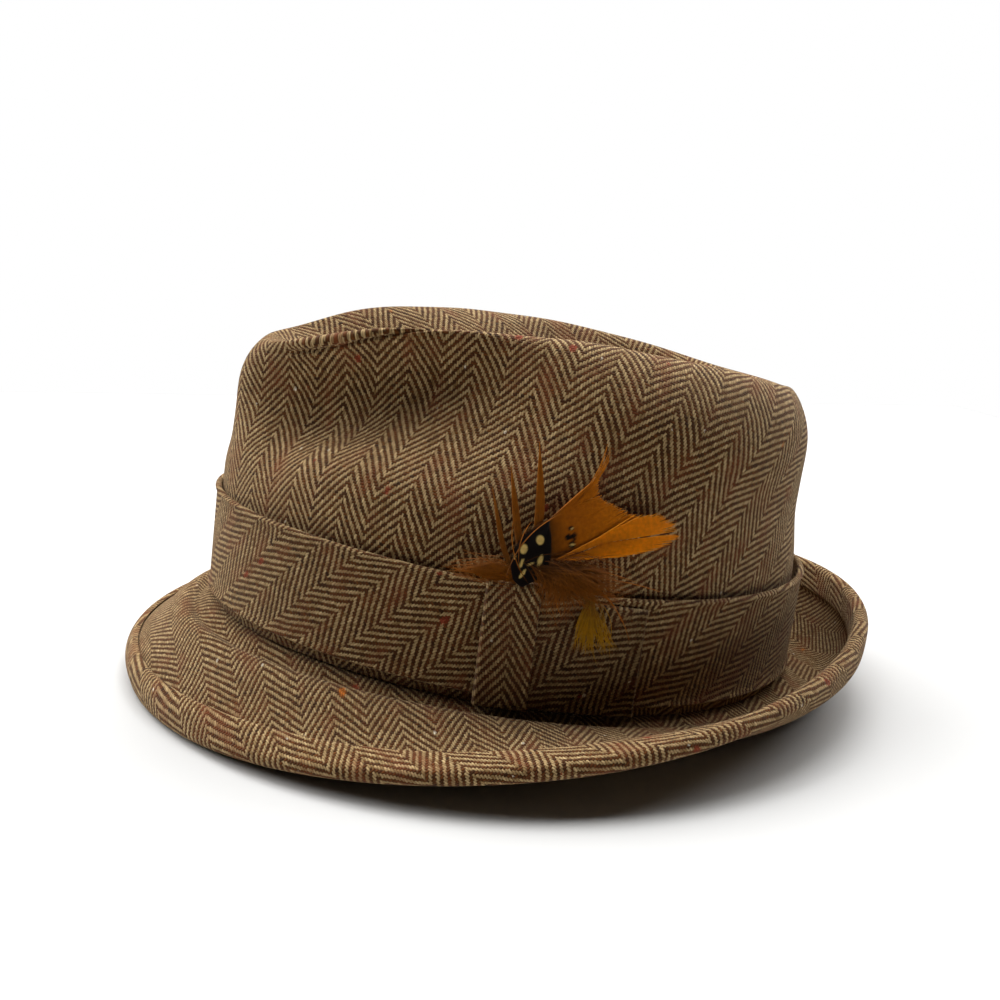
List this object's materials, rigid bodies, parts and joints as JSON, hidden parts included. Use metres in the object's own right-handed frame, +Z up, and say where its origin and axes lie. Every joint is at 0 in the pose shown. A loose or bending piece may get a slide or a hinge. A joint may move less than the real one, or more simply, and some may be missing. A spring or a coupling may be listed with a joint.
{
  "type": "trilby hat",
  "caption": "Tweed trilby with a pinched, dented crown, a brim snapped down in front and curled up behind, a cloth band with a flat bow and a feather plume.",
  "frame": {"origin": "middle of the hat's box in plan, on the surface that it lies on", "axes": "+Z up from the surface, the front of the hat towards -Y, the wearer's left side with the bow and the feathers towards +X"},
  "size_m": [0.2478, 0.2588, 0.1204],
  "materials": {
    "crown_tweed": "brown and cream herringbone wool tweed with rust and orange flecks",
    "brim_tweed": "the same tweed, columns running front to back",
    "binding_tweed": "the same tweed cut on the bias",
    "band_tweed": "the same tweed cut on the bias, folded edges",
    "keeper_tweed": "the same tweed, one column's point along the strip",
    "tail_tweed": "the same tweed cut on the bias",
    "feather": "orange and brown feathers, one black with cream spots"
  },
  "bodies": {
    "root": {"crown": "crown_tweed", "brim": "brim_tweed", "brim_binding": "binding_tweed", "hat_band": "band_tweed", "bow_keeper": "keeper_tweed", "bow_tail": "tail_tweed", "feather_plume": "feather"}
  },
  "joints": []
}
